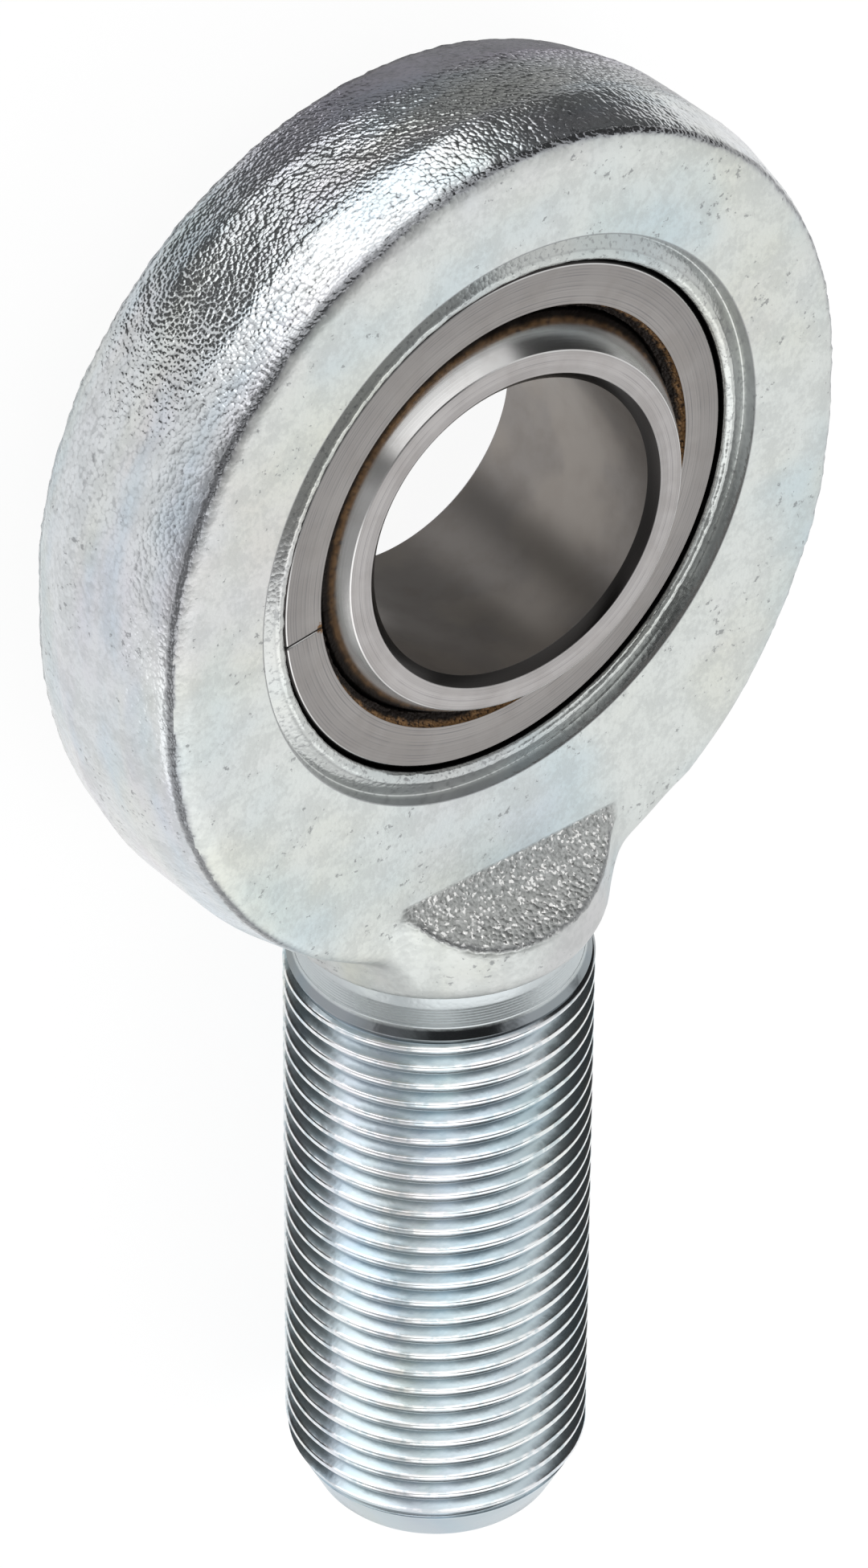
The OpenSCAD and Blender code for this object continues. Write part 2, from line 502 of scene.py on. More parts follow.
def make_tint_group() -> bpy.types.NodeTree:
    """Faint blue, straw and pink clouds of a clear passivated zinc coat.

    Returns:
        The node group.
    """
    inputs = {"Base": (0.8, 0.8, 0.8, 1), "Amount": 1.0, "Cloud size": 6.0}
    tree, bench, given, result = new_group("passivated tint", inputs, ("Colour",))
    stretched = bench.add("Mapping", {"Vector": bench.place(), "Scale": (0.45, 0.45, 1.5)}).outputs[0]
    blue = Coat(1.0, (0.70, 0.86, 0.98))
    straw = Coat(0.8, (0.98, 0.94, 0.80))
    pink = Coat(0.7, (0.96, 0.86, 0.94))
    shifts = ((0.0, 0.0, 0.0), (0.05, 0.02, 0.07), (0.11, 0.06, 0.03))
    colour = given["Base"]
    for coat, shift in zip((blue, straw, pink), shifts):
        moved = bench.add("VectorMath", {0: stretched, 1: shift}, operation="ADD").outputs[0]
        cloud = bench.step(bench.noise(given["Cloud size"], 3, at=moved), (0.45, 0.72))
        share = bench.times(cloud, coat.share, given["Amount"])
        colour = bench.blend(share, colour, bench.blend(1.0, colour, coat.colour, "MULTIPLY"))
    bench.feed(result, {"Colour": colour})
    return tree


def make_scuff_group() -> bpy.types.NodeTree:
    """Small dents and specks of handled parts, in patches.

    Returns:
        The node group.
    """
    tree, bench, given, result = new_group("handling scuffs", {"Speck size": 0.5}, ("Specks",))
    patch = bench.step(bench.noise(3.5), (0.38, 0.66), (0.71, 0.59))
    over = bench.minus(bench.noise(given["Speck size"], 4, 0.65), patch)
    bench.feed(result, {"Specks": bench.step(over, (0.0, 0.05))})
    return tree


def new_material(name: str) -> tuple[Material, Shader, Sockets]:
    """Make a material with one Principled shader.

    Args:
        name: The material's name.

    Returns:
        The material, its wiring bench and the inputs of its Principled node.
    """
    material = bpy.data.materials.new(name)
    material.use_nodes = True
    return material, Shader(material.node_tree), material.node_tree.nodes["Principled BSDF"].inputs


@dataclass(frozen=True)
class Hollow:
    """Lying cylinder that cuts a hollow into the neck at both faces, in millimetres."""

    along: float = 21.60
    height: float = 14.41
    radius: float = 8.6

    def wall(self, start: float, end: float) -> Span:
        """Span of distances from the cylinder's axis, counted from its wall."""
        return self.radius + start, self.radius + end


class PlateZones:
    """Places on the housing as sockets: distances in metres, and shares from 0 to 1."""

    def __init__(self, bench: Shader, plate: "ZincPlate") -> None:
        """Find the zones.

        Args:
            bench: The material's wiring bench.
            plate: The plate, with the spans of its zones.
        """
        self.bench = bench
        x, self.y, self.z = bench.split(bench.place())
        self.height = bench.unsigned(self.z)
        self.out = bench.length(x, self.y)
        self.from_shank = bench.length(x, self.z)
        self.thread = bench.zone(self.y, plate.thread_y)
        self.bare = bench.minus(1.0, self.thread)
        self.crest = bench.zone(self.from_shank, plate.crest_out)
        self.run_out = bench.times(self.thread, bench.zone(self.y, plate.run_out_y))
        self.eye = bench.zone(self.y, plate.eye_y)
        self.staked = bench.times(bench.zone(self.out, plate.staked_out), self.eye)
        steep = bench.minus(1.0, bench.step(bench.unsigned(bench.split(bench.normal())[2]), (0.70, 0.97)))
        self.rim = bench.times(self.eye, steep, bench.zone(self.out, plate.rim_out))
        jagged = bench.plus(self.height, bench.times(bench.noise(0.5, 3), 0.4 * MM))
        self.edge = bench.times(bench.zone(jagged, plate.edge_height), self.rim)
        drop = bench.minus(self.height, plate.hollow.height * MM)
        self.apart = bench.length(drop, bench.plus(self.y, plate.hollow.along * MM))
        self.hollow = bench.times(
            bench.zone(self.apart, plate.hollow.wall(0.30, 0.12)),
            bench.zone(self.y, plate.hollow_y),
            bench.zone(bench.unsigned(x), plate.hollow_x),
        )
        coarse = bench.times(
            bench.sector(self.out, plate.coarse_middle, (76, 30), (0.25, 1.0)),
            bench.step(bench.noise(5.0), (0.35, 0.65), (0.6, 1.0)),
            bench.zone(self.height, (2.2, 3.6), (1.0, 0.8)),
        )
        self.skin = bench.most(bench.times(self.rim, coarse), self.hollow, self.edge)


@dataclass(frozen=True)
class ZincPlate:
    """Clear passivated zinc on the forged eye and the rolled thread. Spans are in millimetres."""

    base: Colour = (0.70, 0.73, 0.71)
    thread_base: Colour = (0.55, 0.64, 0.68)
    # Dark for real specks and worn marks, and for painted shade.
    grime_and_shade: Colour = (0.16, 0.165, 0.175)
    # Near black for painted shade between the housing and the outer ring.
    gap: Colour = (0.012, 0.012, 0.012)
    dull_facet: Colour = (0.33, 0.34, 0.33)
    pale_facet: Colour = (0.58, 0.59, 0.58)
    # Near white for painted glints on the hollows' facets.
    painted_glint_tone: Colour = (0.95, 0.95, 0.93)
    rolled: Colour = (0.36, 0.37, 0.365)
    # Crest coat: pale on the thread's crests, partly rubbed wear and partly a painted highlight.
    crest: Coat = Coat(1.0, (0.86, 0.89, 0.90))
    # Root coat: painted shade, darker in the thread's roots.
    root: Coat = Coat(0.45, (0.38, 0.45, 0.49))
    # Run-out coat: a painted dark reflection on the run-out cone.
    run_out: Coat = Coat(0.8, (0.20, 0.215, 0.225))
    rim: Coat = Coat(0.6, (0.78, 0.81, 0.86))
    # Lilac on the rim's lower half on one side: partly passivation tint, partly a painted reflection.
    far_rim_tint_and_reflection: Coat = Coat(0.6, (0.74, 0.70, 0.85))
    neck: Coat = Coat(0.45, (0.50, 0.52, 0.51))
    mottle: Coat = Coat(0.26, (0.36, 0.38, 0.375))
    relief: Coat = Coat(0.75, (0.57, 0.62, 0.64))
    thread_y: Span = (-35.9, -36.2)
    run_out_y: Span = (-37.2, -36.8)
    relief_y: Span = (-33.3, -33.6)
    neck_y: Span = (-27.0, -31.0)
    eye_y: Span = (-26.0, -22.0)
    hollow_y: Span = (-25.35, -25.60)
    hollow_x: Span = (8.8, 8.0)
    rim_out: Span = (23.5, 24.5)
    edge_height: Span = (6.08, 6.40)
    staked_out: Span = (19.4, 19.3)
    groove_out: Span = (18.04, 18.12)
    crest_out: Span = (9.72, 9.81)
    root_out: Span = (9.40, 9.15)
    coarse_middle: float = 112.0
    far_middle: float = 76.0
    hollow: Hollow = Hollow()

    def clean(self, on: PlateZones) -> Socket:
        """Colour of the clean plate, before its tints and marks.

        Args:
            on: The housing's zones.

        Returns:
            The colour's socket.
        """
        bench = on.bench
        # Pale crests in patches: partly rubbed wear, partly a painted highlight.
        rubbed_and_highlit = bench.step(bench.noise(0.8, 3), (0.36, 0.52), (0.30, 1.0))
        threaded = bench.paint(self.thread_base, bench.times(on.crest, rubbed_and_highlit), self.crest)
        # Painted shade in the thread's roots.
        threaded = bench.paint(threaded, bench.zone(on.from_shank, self.root_out), self.root)
        # Painted dark reflection on the run-out cone.
        threaded = bench.paint(threaded, on.run_out, self.run_out)
        # Lilac on one side of the rim's lower half: partly passivation tint, partly a painted reflection.
        beyond = bench.sector(on.out, self.far_middle, (48, 24), (0.0, 1.0))
        far = bench.times(bench.zone(on.z, (-1.0, -3.5)), on.rim, beyond)
        neck = bench.times(bench.zone(on.y, self.neck_y), on.bare)
        colour = bench.blend(on.thread, self.base, threaded)
        for mask, coat in ((on.rim, self.rim), (far, self.far_rim_tint_and_reflection), (neck, self.neck)):
            colour = bench.paint(colour, mask, coat)
        return colour

    def marked(self, on: PlateZones, colour: Socket, pits: Socket, specks: Socket) -> Socket:
        """Lay mottling, real specks and painted shade in the grain's pits over the tinted plate.

        Args:
            on: The housing's zones.
            colour: The tinted plate.
            pits: Mask of the grain's pits.
            specks: Mask of the small dents.

        Returns:
            The colour's socket.
        """
        bench = on.bench
        fine = bench.plus(bench.noise(0.45, 4, 0.62), bench.noise(2.2, 3))
        colour = bench.paint(colour, bench.times(bench.step(fine, (0.86, 1.16)), on.bare), self.mottle)
        # Specks are real scuffs; the grain's pits are painted darker as shade.
        dirt_and_pit_shade = bench.most(bench.times(specks, on.bare, 0.6), bench.times(pits, on.skin, 0.45))
        return bench.blend(dirt_and_pit_shade, colour, self.grime_and_shade)

    def stains_and_painted_shade(self, on: PlateZones) -> Socket:
        """Mask of worn specks on the staked lip, a faint darkening of the hollows, and painted shade: in the
        groove's corners, along the hollows' outline and as a dark line at the rim's edges, stronger at the
        upper face.

        Args:
            on: The housing's zones.

        Returns:
            The mask's socket.
        """
        bench = on.bench
        # Painted shade in the groove's foot and at its outer wall.
        foot = bench.strip(on.out, (18.02, 18.08), (18.22, 18.15))
        wall = bench.strip(on.out, (19.05, 19.18), (19.42, 19.34))
        corner = bench.most(bench.times(foot, 0.2), bench.times(wall, 0.7))
        worn = bench.step(bench.noise(0.30, 3), (0.54, 0.66))
        # Painted shadow along the hollows' outline.
        outline = bench.zone(on.apart, self.hollow.wall(0.02, 0.12))
        return bench.most(
            # Painted shade: a dark line at the rim's edges, stronger at the upper face.
            bench.times(on.edge, bench.zone(on.z, (-1.0, 1.0), (0.30, 0.82))),
            bench.times(on.hollow, 0.10),
            bench.times(worn, on.staked, 0.45),
            bench.times(corner, on.eye, 0.8),
            bench.times(outline, on.hollow, bench.zone(on.y, (-26.2, -27.0)), 0.65),
        )

    def roughness(self, on: PlateZones, painted_glint: Socket) -> Socket:
        """Roughness of the plate: each shine is taken off the plain one.

        Args:
            on: The housing's zones.
            painted_glint: Mask of the hollows' painted glints, facets painted near white.

        Returns:
            The roughness's socket.
        """
        bench = on.bench
        plain = bench.step(on.thread, (0, 1), (0.40, 0.29))
        relief = bench.zone(on.y, (-33.3, -33.7), (0, 0.06))
        shiny = bench.times(bench.most(bench.times(on.crest, on.thread), on.run_out), 0.09)
        glints = bench.plus(bench.times(on.rim, 0.22), bench.times(on.skin, 0.06))
        bright = bench.most(bench.times(glints, on.rim), bench.times(painted_glint, 0.25))
        return reduce(bench.minus, (relief, shiny, bench.times(on.staked, 0.23), bright), plain)

    def build(self, effects: SurfaceEffects) -> Material:
        """Make the material.

        Args:
            effects: The shared node groups.

        Returns:
            The material.
        """
        material, bench, principled = new_material("zinc plated forging")
        on = PlateZones(bench, self)
        grain = bench.use(effects.grain, Grain_size=0.30, Lump_size=0.9)
        specks = bench.use(effects.scuffs, Speck_size=0.55)["Specks"]
        tinted = bench.use(effects.tint, Base=self.clean(on), Amount=0.55, Cloud_size=6.0)["Colour"]
        colour = self.marked(on, tinted, grain["Pits"], specks)
        chance, second, _ = bench.split(bench.cells(0.17)["Color"])
        # Painted glints: random facets in the hollows painted near white.
        painted_glint = bench.times(bench.step(chance, (0.80, 0.88)), on.hollow)
        facets = bench.blend(second, self.dull_facet, self.pale_facet)
        groove = bench.times(on.staked, bench.zone(on.out, self.groove_out))
        rolled = bench.plus(bench.times(groove, 0.2), bench.times(on.staked, 0.28))
        # Painted shade: near black at the seat's mouth beside the outer ring and deeper in the seat.
        mouth = bench.times(bench.zone(on.out, (17.50, 17.41)), bench.zone(on.height, (6.14, 6.02)))
        deep_shade = bench.times(bench.zone(on.out, (17.8, 17.7)), bench.zone(on.height, (5.7, 5.6)))
        turned = bench.times(bench.zone(on.y, self.relief_y), on.bare)
        for share, tone in (
            (bench.times(on.hollow, 0.85), facets),
            (painted_glint, self.painted_glint_tone),
            (rolled, self.rolled),
            (self.stains_and_painted_shade(on), self.grime_and_shade),
            (bench.times(turned, self.relief.share), self.relief.colour),
            (bench.most(mouth, deep_shade), self.gap),
        ):
            colour = bench.blend(share, colour, tone)
        amount = bench.plus(bench.times(on.bare, 0.16), bench.times(on.skin, 0.68))
        grainy = bench.bump(bench.times(grain["Height"], amount), 0.12)
        waves = bench.times(bench.noise(0.9), on.thread)
        metallic = bench.step(on.thread, (0, 1), (0.82, 1.0))
        bench.feed(principled, {"Base Color": colour, "Metallic": metallic})
        bench.feed(principled, {"Roughness": self.roughness(on, painted_glint)})
        bench.feed(principled, {"Normal": bench.bump(waves, 0.016, under=grainy)})
        return material


@dataclass(frozen=True)
class GroundSteel:
    """Bearing steel, ground in circles on its faces and polished on its ball.

    The zones follow the surface's direction: faces look along the axis, a bore looks inwards and
    a ball outwards. Spans are in millimetres.
    """

    name: str
    axis: Vector
    across: Vector
    face: Colour = (0.385, 0.37, 0.365)
    ball: Colour = (0.60, 0.595, 0.59)
    bore: Colour = (0.29, 0.27, 0.255)
    dulling: Colour = (0.80, 0.78, 0.76)
    # Dark brown soil and painted shade on the ball next to the liner.
    soil_and_shade: Colour = (0.07, 0.05, 0.04)
    chip: Colour = (0.16, 0.085, 0.035)
    # Near black for painted shade in the split and at the outer ring's chamfer; also laid on the bore's
    # bevel.
    dark: Colour = (0.03, 0.028, 0.027)
    band: Coat = Coat(0.35, (0.22, 0.21, 0.205))
    line: Coat = Coat(1.0, (0.17, 0.165, 0.17))
    honed: Coat = Coat(0.40, (0.40, 0.36, 0.32))
    face_roughness: float = 0.30
    ball_roughness: float = 0.20
    bore_roughness: float = 0.36
    line_size: float = 0.10
    corner_r: float = 16.98
    face_height: Span = (7.37, 7.42)
    bevel_r: Span = (10.62, 10.56)
    soil_and_shade_height: Span = (7.3, 6.4)
    chip_r: float = 14.45
    split_angle: float | None = None
    soil_and_shade_amount: float = 0.0

    def split_marks(self, bench: Shader, place: Socket) -> tuple[Socket, Socket]:
        """Find the ring's split and the chipped corner beside it.

        Args:
            bench: The material's wiring bench.
            place: The coordinates.

        Returns:
            Masks of the split and of the chip.
        """
        angle = math.radians(self.split_angle)
        out = self.across * math.cos(angle) + self.axis.cross(self.across) * math.sin(angle)
        off = bench.unsigned(bench.along(place, out.cross(self.axis)))
        reach = bench.along(place, out)
        split = bench.times(bench.zone(off, (0.08, 0.05)), bench.zone(reach, (10, 11)))
        apart = bench.plus(off, bench.unsigned(bench.minus(reach, self.chip_r * MM)))
        ragged = bench.plus(apart, bench.times(bench.noise(0.25, 3), 0.8 * MM))
        return split, bench.zone(ragged, (0.88, 0.70))

    def build(self) -> Material:
        """Make the material.

        Returns:
            The material.
        """
        material, bench, principled = new_material(self.name)
        place = bench.place()
        side = self.axis.cross(self.across)
        u, v, w = (bench.along(place, direction) for direction in (self.across, side, self.axis))
        height = bench.unsigned(w)
        radius = bench.length(u, v)
        normal = bench.normal()
        facing = bench.step(bench.unsigned(bench.along(normal, self.axis)), (0.90, 0.985))
        outwards = bench.along(normal, place)
        inwards = bench.zone(outwards, (0, -4))
        rings = bench.add("CombineXYZ", {0: radius, 1: w}).outputs[0]
        turned = bench.noise(self.line_size, 2, 0.6, rings)
        stain = bench.step(bench.noise(2.5, 4, 0.6), (0.38, 0.72), (0.0, 0.5))
        face, ball, bore = (
            bench.blend(stain, tone, tuple(c * d for c, d in zip(tone, self.dulling)))
            for tone in (self.face, self.ball, self.bore)
        )
        face = bench.paint(face, bench.step(bench.noise(0.7, 1, at=rings), (0.40, 0.62)), self.band)
        fading = bench.step(bench.noise(3.0), (0.38, 0.58), (0.25, 0.75))
        face = bench.paint(face, bench.times(bench.step(turned, (0.46, 0.66)), fading), self.line)
        bore = bench.paint(bore, bench.step(bench.noise(6.0, 3), (0.42, 0.60)), self.honed)
        colour = bench.blend(inwards, bench.blend(facing, ball, face), bore)
        # Painted shade: the outer ring's chamfer beside the housing is near black; the bore's bevel is near
        # black too.
        bevel = bench.times(bench.zone(height, self.face_height), bench.zone(radius, self.bevel_r))
        dark = bench.most(bevel, bench.zone(radius, (self.corner_r, self.corner_r + 0.05)))
        # Soil and painted shade: the ball is painted dark brown where it goes under the liner.
        soil_and_shade = bench.plus(height, bench.times(bench.noise(1.2, 4), 1.6 * MM))
        soil_and_shade = bench.times(bench.zone(soil_and_shade, self.soil_and_shade_height), bench.zone(outwards, (10, 12)), self.soil_and_shade_amount)
        colour = bench.blend(soil_and_shade, colour, self.soil_and_shade)
        if self.split_angle is not None:
            split, chip = self.split_marks(bench, place)
            # Painted shade: the split is painted near black.
            dark = bench.most(dark, split)
            colour = bench.blend(chip, colour, self.chip)
        rough = bench.step(facing, (0, 1), (self.ball_roughness, self.face_roughness))
        rough = bench.plus(rough, bench.times(inwards, self.bore_roughness - self.ball_roughness))
        rough = bench.plus(rough, bench.times(stain, 0.06))
        metallic = bench.step(inwards, (0, 1), (1.0, 0.8))
        bench.feed(principled, {"Base Color": bench.blend(dark, colour, self.dark), "Metallic": metallic})
        bench.feed(principled, {"Roughness": rough, "Normal": bench.bump(turned, 0.01, 0.3)})
        return material


@dataclass(frozen=True)
class SinteredBronze:
    """Porous bronze of the liner's edge."""

    base: Colour = (0.42, 0.24, 0.105)
    pore: Colour = (0.07, 0.04, 0.025)
    # Near black for painted shade deeper in the liner's mouth.
    deep_shade: Colour = (0.018, 0.012, 0.009)
    edge_height: Span = (6.00, 5.62)
    metallic: float = 0.45
    roughness: float = 0.62

    def build(self, effects: SurfaceEffects) -> Material:
        """Make the material.

        Args:
            effects: The shared node groups.

        Returns:
            The material.
        """
        material, bench, principled = new_material("porous bronze")
        grain = bench.use(effects.grain, Grain_size=0.19, Lump_size=0.6)
        height = bench.unsigned(bench.split(bench.place())[2])
        patchy = bench.plus(height, bench.times(bench.noise(0.6, 3), 0.5 * MM))
        colour = bench.blend(grain["Pits"], self.base, self.pore)
        # Painted shade: darker deeper into the liner's mouth, beside the ball.
        colour = bench.blend(bench.zone(patchy, self.edge_height), colour, self.deep_shade)
        normal = bench.bump(grain["Height"], 0.14)
        bench.feed(principled, {"Base Color": colour, "Normal": normal})
        bench.feed(principled, {"Metallic": self.metallic, "Roughness": self.roughness})
        return material


@dataclass
class Housing:
    """Forged and plated eye with its neck, turned relief and threaded shank."""

    eye_half: float = 6.75
    fill_r: float = 21.5
    neck_cut: float = 33.5
    grid: float = 0.36
    relief_r: float = 9.3
    relief_end: float = 36.0
    crest_r: float = 9.92
    root_r: float = 9.10
    pitch: float = 1.5
    crest_at: float = 40.3
    crest_angle: float = 130.0
    turns: int = 33
    shank_end: float = 80.0
    tip_cone: float = 4.0
    tip_r: float = 7.85
    seat_steps: int = 300
    helix_steps: int = 96
    shank_steps: int = 192
    line_depth: float = 0.05
    line_pitch: float = 0.11
    hollow: Hollow = Hollow()

    def seat_section(self) -> list[Point]:
        """Section of the room for the bearing, with the staked lip and groove at both faces.

        Returns:
            Points of radius and height from the lower end of the axis to the upper.
        """
        lip = [(17.5, 0.0), (17.5, 5.5), (17.36, 5.62), (17.35, 6.10), (17.42, 6.26), (17.56, 6.38)]
        crown = [(17.75, 6.43), (17.93, 6.42), (18.06, 6.37), (18.14, 6.32)]
        floor = [(18.30, 6.27), (18.46, 6.195), (18.62, 6.145), (18.80, 6.065), (18.98, 6.01)]
        wall = [(19.06, 6.03), (19.14, 6.20), (19.22, 6.50), (19.34, 6.90), (19.34, 8.5), (0.0, 8.5)]
        upper = lip + crown + floor + wall
        lower = [(r, -h) for r, h in reversed(upper[1:])]
        return lower + upper

    def on_lip(self, p: Vector) -> float:
        """Share of the staked lip's unevenness at a place.

        Args:
            p: The place in millimetres.

        Returns:
            A share from 0 to 1.
        """
        radius = math.hypot(p.x, p.y)
        ring = ramp(radius, 17.3, 17.42) * ramp(radius, 18.12, 18.02)
        return ring * ramp(abs(p.z), 5.9, 6.2) * ramp(abs(p.z), 7.5, 7.0)

    def blank(self) -> Piece:
        """The forging up to the neck's end, with its bore still filled.

        Returns:
            The blank, smooth and evenly meshed.
        """
        source = frame["nodes"]["housing"]
        activate(source)
        bpy.ops.object.duplicate()
        piece = bpy.context.object
        piece.name = "plated_eye_and_shank"
        world = piece.matrix_world.copy()
        piece.parent = None
        piece.matrix_world = world
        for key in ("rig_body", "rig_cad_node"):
            if key in piece:
                del piece[key]
        merge_doubles(piece, 1e-6)
        bpy.ops.mesh.bisect(
            plane_co=(0, -self.neck_cut * MM, 0), plane_no=(0, -1, 0), use_fill=True, clear_outer=True
        )
        bpy.ops.object.mode_set(mode="OBJECT")
        half = self.eye_half
        plug = [(0, -half), (self.fill_r, -half), (self.fill_r, half), (0, half)]
        combine(piece, turn("plug", plug, *Axis.EYE.value, steps=180), Operation.UNITE)
        grid = self.grid * MM
        modify(piece, "even grid", "REMESH", mode="VOXEL", voxel_size=grid, use_smooth_shade=True)
        modify(piece, "soften", "SMOOTH", factor=0.5, iterations=1)
        return piece

    def on_rim(self, p: Vector) -> float:
        """Share of the rim's roughness at a place in millimetres."""
        reach = max(math.hypot(p.x, min(p.y + 3.5, 0)), math.hypot(p.x, p.y) if p.y > -3.5 else 0)
        return ramp(reach, 24.8, 26.0) * ramp(p.y, -24, -16)

    def on_edge(self, p: Vector) -> float:
        """Share of the roughness of the rim's edges at a place in millimetres."""
        return self.on_rim(p) * ramp(abs(p.z), 5.7, 6.1)

    def in_hollow(self, p: Vector) -> float:
        """Share of the hollows' roughness at a place in millimetres."""
        apart = math.hypot(-p.y - self.hollow.along, abs(p.z) - self.hollow.height)
        return ramp(apart, *self.hollow.wall(0.25, 0.1)) * ramp(abs(p.x), 8.4, 7.6) * ramp(-p.y, 25.4, 25.8)

    def beside_hollow(self, p: Vector) -> float:
        """Share of softening beside the hollows' ends at a place in millimetres."""
        across = ramp(abs(p.x), 8.2, 9.4) * ramp(abs(p.x), 15.0, 13.0)
        return across * ramp(-p.y, 24.0, 25.2) * ramp(-p.y, 32.5, 31.0) * ramp(abs(p.z), 2.0, 4.0)

    def forge_marks(self, piece: Piece) -> None:
        """Give the rim and the neck's hollows their forged unevenness.

        Args:
            piece: The blank.
        """
        beside = weigh(piece, "beside", self.beside_hollow)
        modify(piece, "soften", "SMOOTH", factor=0.5, iterations=30, vertex_group=beside)
        rim = weigh(piece, "rim", self.on_rim)
        hollow = weigh(piece, "hollow", self.in_hollow)
        edge = weigh(piece, "edge", self.on_edge)
        marks = ((rim, 2.6, 0.08), (rim, 0.9, 0.05), (edge, 0.7, 0.20), (hollow, 0.8, 0.10))
        for group, size, depth in marks:
            roughen(piece, group, size, depth)
        piece.vertex_groups.clear()

    def thread(self) -> Piece:
        """A right-hand thread along the shank's axis, longer than the shank at both ends.

        Returns:
            The closed threaded bar.
        """
        pitch = self.pitch
        root, crest = self.root_r, self.crest_r
        half = [(0.00, root), (0.13, root + 0.03), (0.24, root + 0.13), (0.565, crest - 0.10)]
        half += [(0.615, crest - 0.02), (0.645, crest), (0.75, crest)]
        one = half + [(pitch - s, r) for s, r in reversed(half[:-1])]
        across = around(SHANK_UP, self.crest_angle)
        start = self.crest_at - 0.5 * pitch - 5 * pitch
        places = [(across * r - SHANK_UP * (start + s)) * MM for s, r in one]
        piece = draw_profile("thread", places)
        bpy.ops.object.mode_set(mode="OBJECT")
        modify(
            piece,
            "rows",
            "ARRAY",
            use_relative_offset=False,
            use_constant_offset=True,
            constant_offset_displace=(0, -pitch * MM, 0),
            count=self.turns,
            use_merge_vertices=True,
            merge_threshold=1e-6,
        )
        turn_of = {"axis": "Y", "angle": 2 * math.pi, "screw_offset": pitch * MM}
        modify(piece, "helix", "SCREW", **turn_of, steps=self.helix_steps, render_steps=self.helix_steps)
        merge_doubles(piece, 1e-6)
        middle = -(start + 0.5 * self.turns * pitch)
        other_flaws = ("use_wire", "use_multi_face", "use_non_contiguous", "use_verts")
        for sign in (1, -1):
            bpy.ops.mesh.select_mode(type="EDGE")
            bpy.ops.mesh.select_all(action="DESELECT")
            bpy.ops.mesh.select_non_manifold(extend=False, **dict.fromkeys(other_flaws, False))
            bpy.ops.mesh.select_mode(type="VERT")
            mesh = bmesh.from_edit_mesh(piece.data)
            for vertex in mesh.verts:
                vertex.select_set(vertex.select and (vertex.co.y / MM - middle) * sign > 0)
            mesh.select_flush(False)
            bmesh.update_edit_mesh(piece.data)
            bpy.ops.mesh.extrude_edges_move(TRANSFORM_OT_translate={"value": (0, sign * 3 * MM, 0)})
            bpy.ops.mesh.merge(type="CENTER")
        finish_surface(piece, 40)
        return piece

    def shank(self) -> Piece:
        """The turned relief and the threaded shank with its cones.

        Returns:
            The closed shank.
        """
        relief, tip, end = self.relief_end, self.tip_r, self.shank_end
        thick, outer = self.relief_r, self.crest_r + 0.04
        envelope = [(0, relief - 0.1), (thick, relief - 0.1), (thick, relief), (outer, relief + 0.95)]
        envelope += [(outer, end - self.tip_cone), (tip + 0.3, end - 0.3), (tip + 0.1, end - 0.05)]
        envelope += [(tip - 0.1, end), (0, end)]
        piece = self.thread()
        bound = turn("envelope", envelope, *Axis.SHANK.value, steps=self.shank_steps)
        combine(piece, bound, Operation.COMMON)
        core = [(0, self.neck_cut - 1.0), (thick, self.neck_cut - 0.9)]
        at = self.neck_cut + 0.9
        while at < relief - 0.06:
            core.append((thick - self.line_depth * (len(core) % 2), at))
            at += self.line_pitch
        run_out = ((0.0, 0.0), (0.42, 0.6), (0.38, 0.8), (0.05, 1.5), (-0.3, 2.0), (-thick, 2.0))
        core += [(thick + r, relief + h) for r, h in run_out]
        combine(piece, turn("relief", core, *Axis.SHANK.value, steps=self.shank_steps), Operation.UNITE)
        return piece

    def build(self, finish: Material) -> Piece:
        """Make the whole housing in one piece.

        Args:
            finish: The plated finish.

        Returns:
            The dressed piece.
        """
        piece = self.blank()
        self.forge_marks(piece)
        seat = turn("seat", self.seat_section(), *Axis.EYE.value, steps=self.seat_steps)
        lip = weigh(seat, "lip", self.on_lip)
        roughen(seat, lip, 0.9, 0.10, 0.5)
        roughen(seat, lip, 0.35, 0.12, 0.5)
        seat.vertex_groups.clear()
        combine(piece, seat, Operation.CUT)
        combine(piece, self.shank(), Operation.UNITE)
        activate(piece)
        bpy.ops.object.shade_smooth_by_angle(angle=math.radians(34))
        return dress(piece, finish, "housing", "housing")


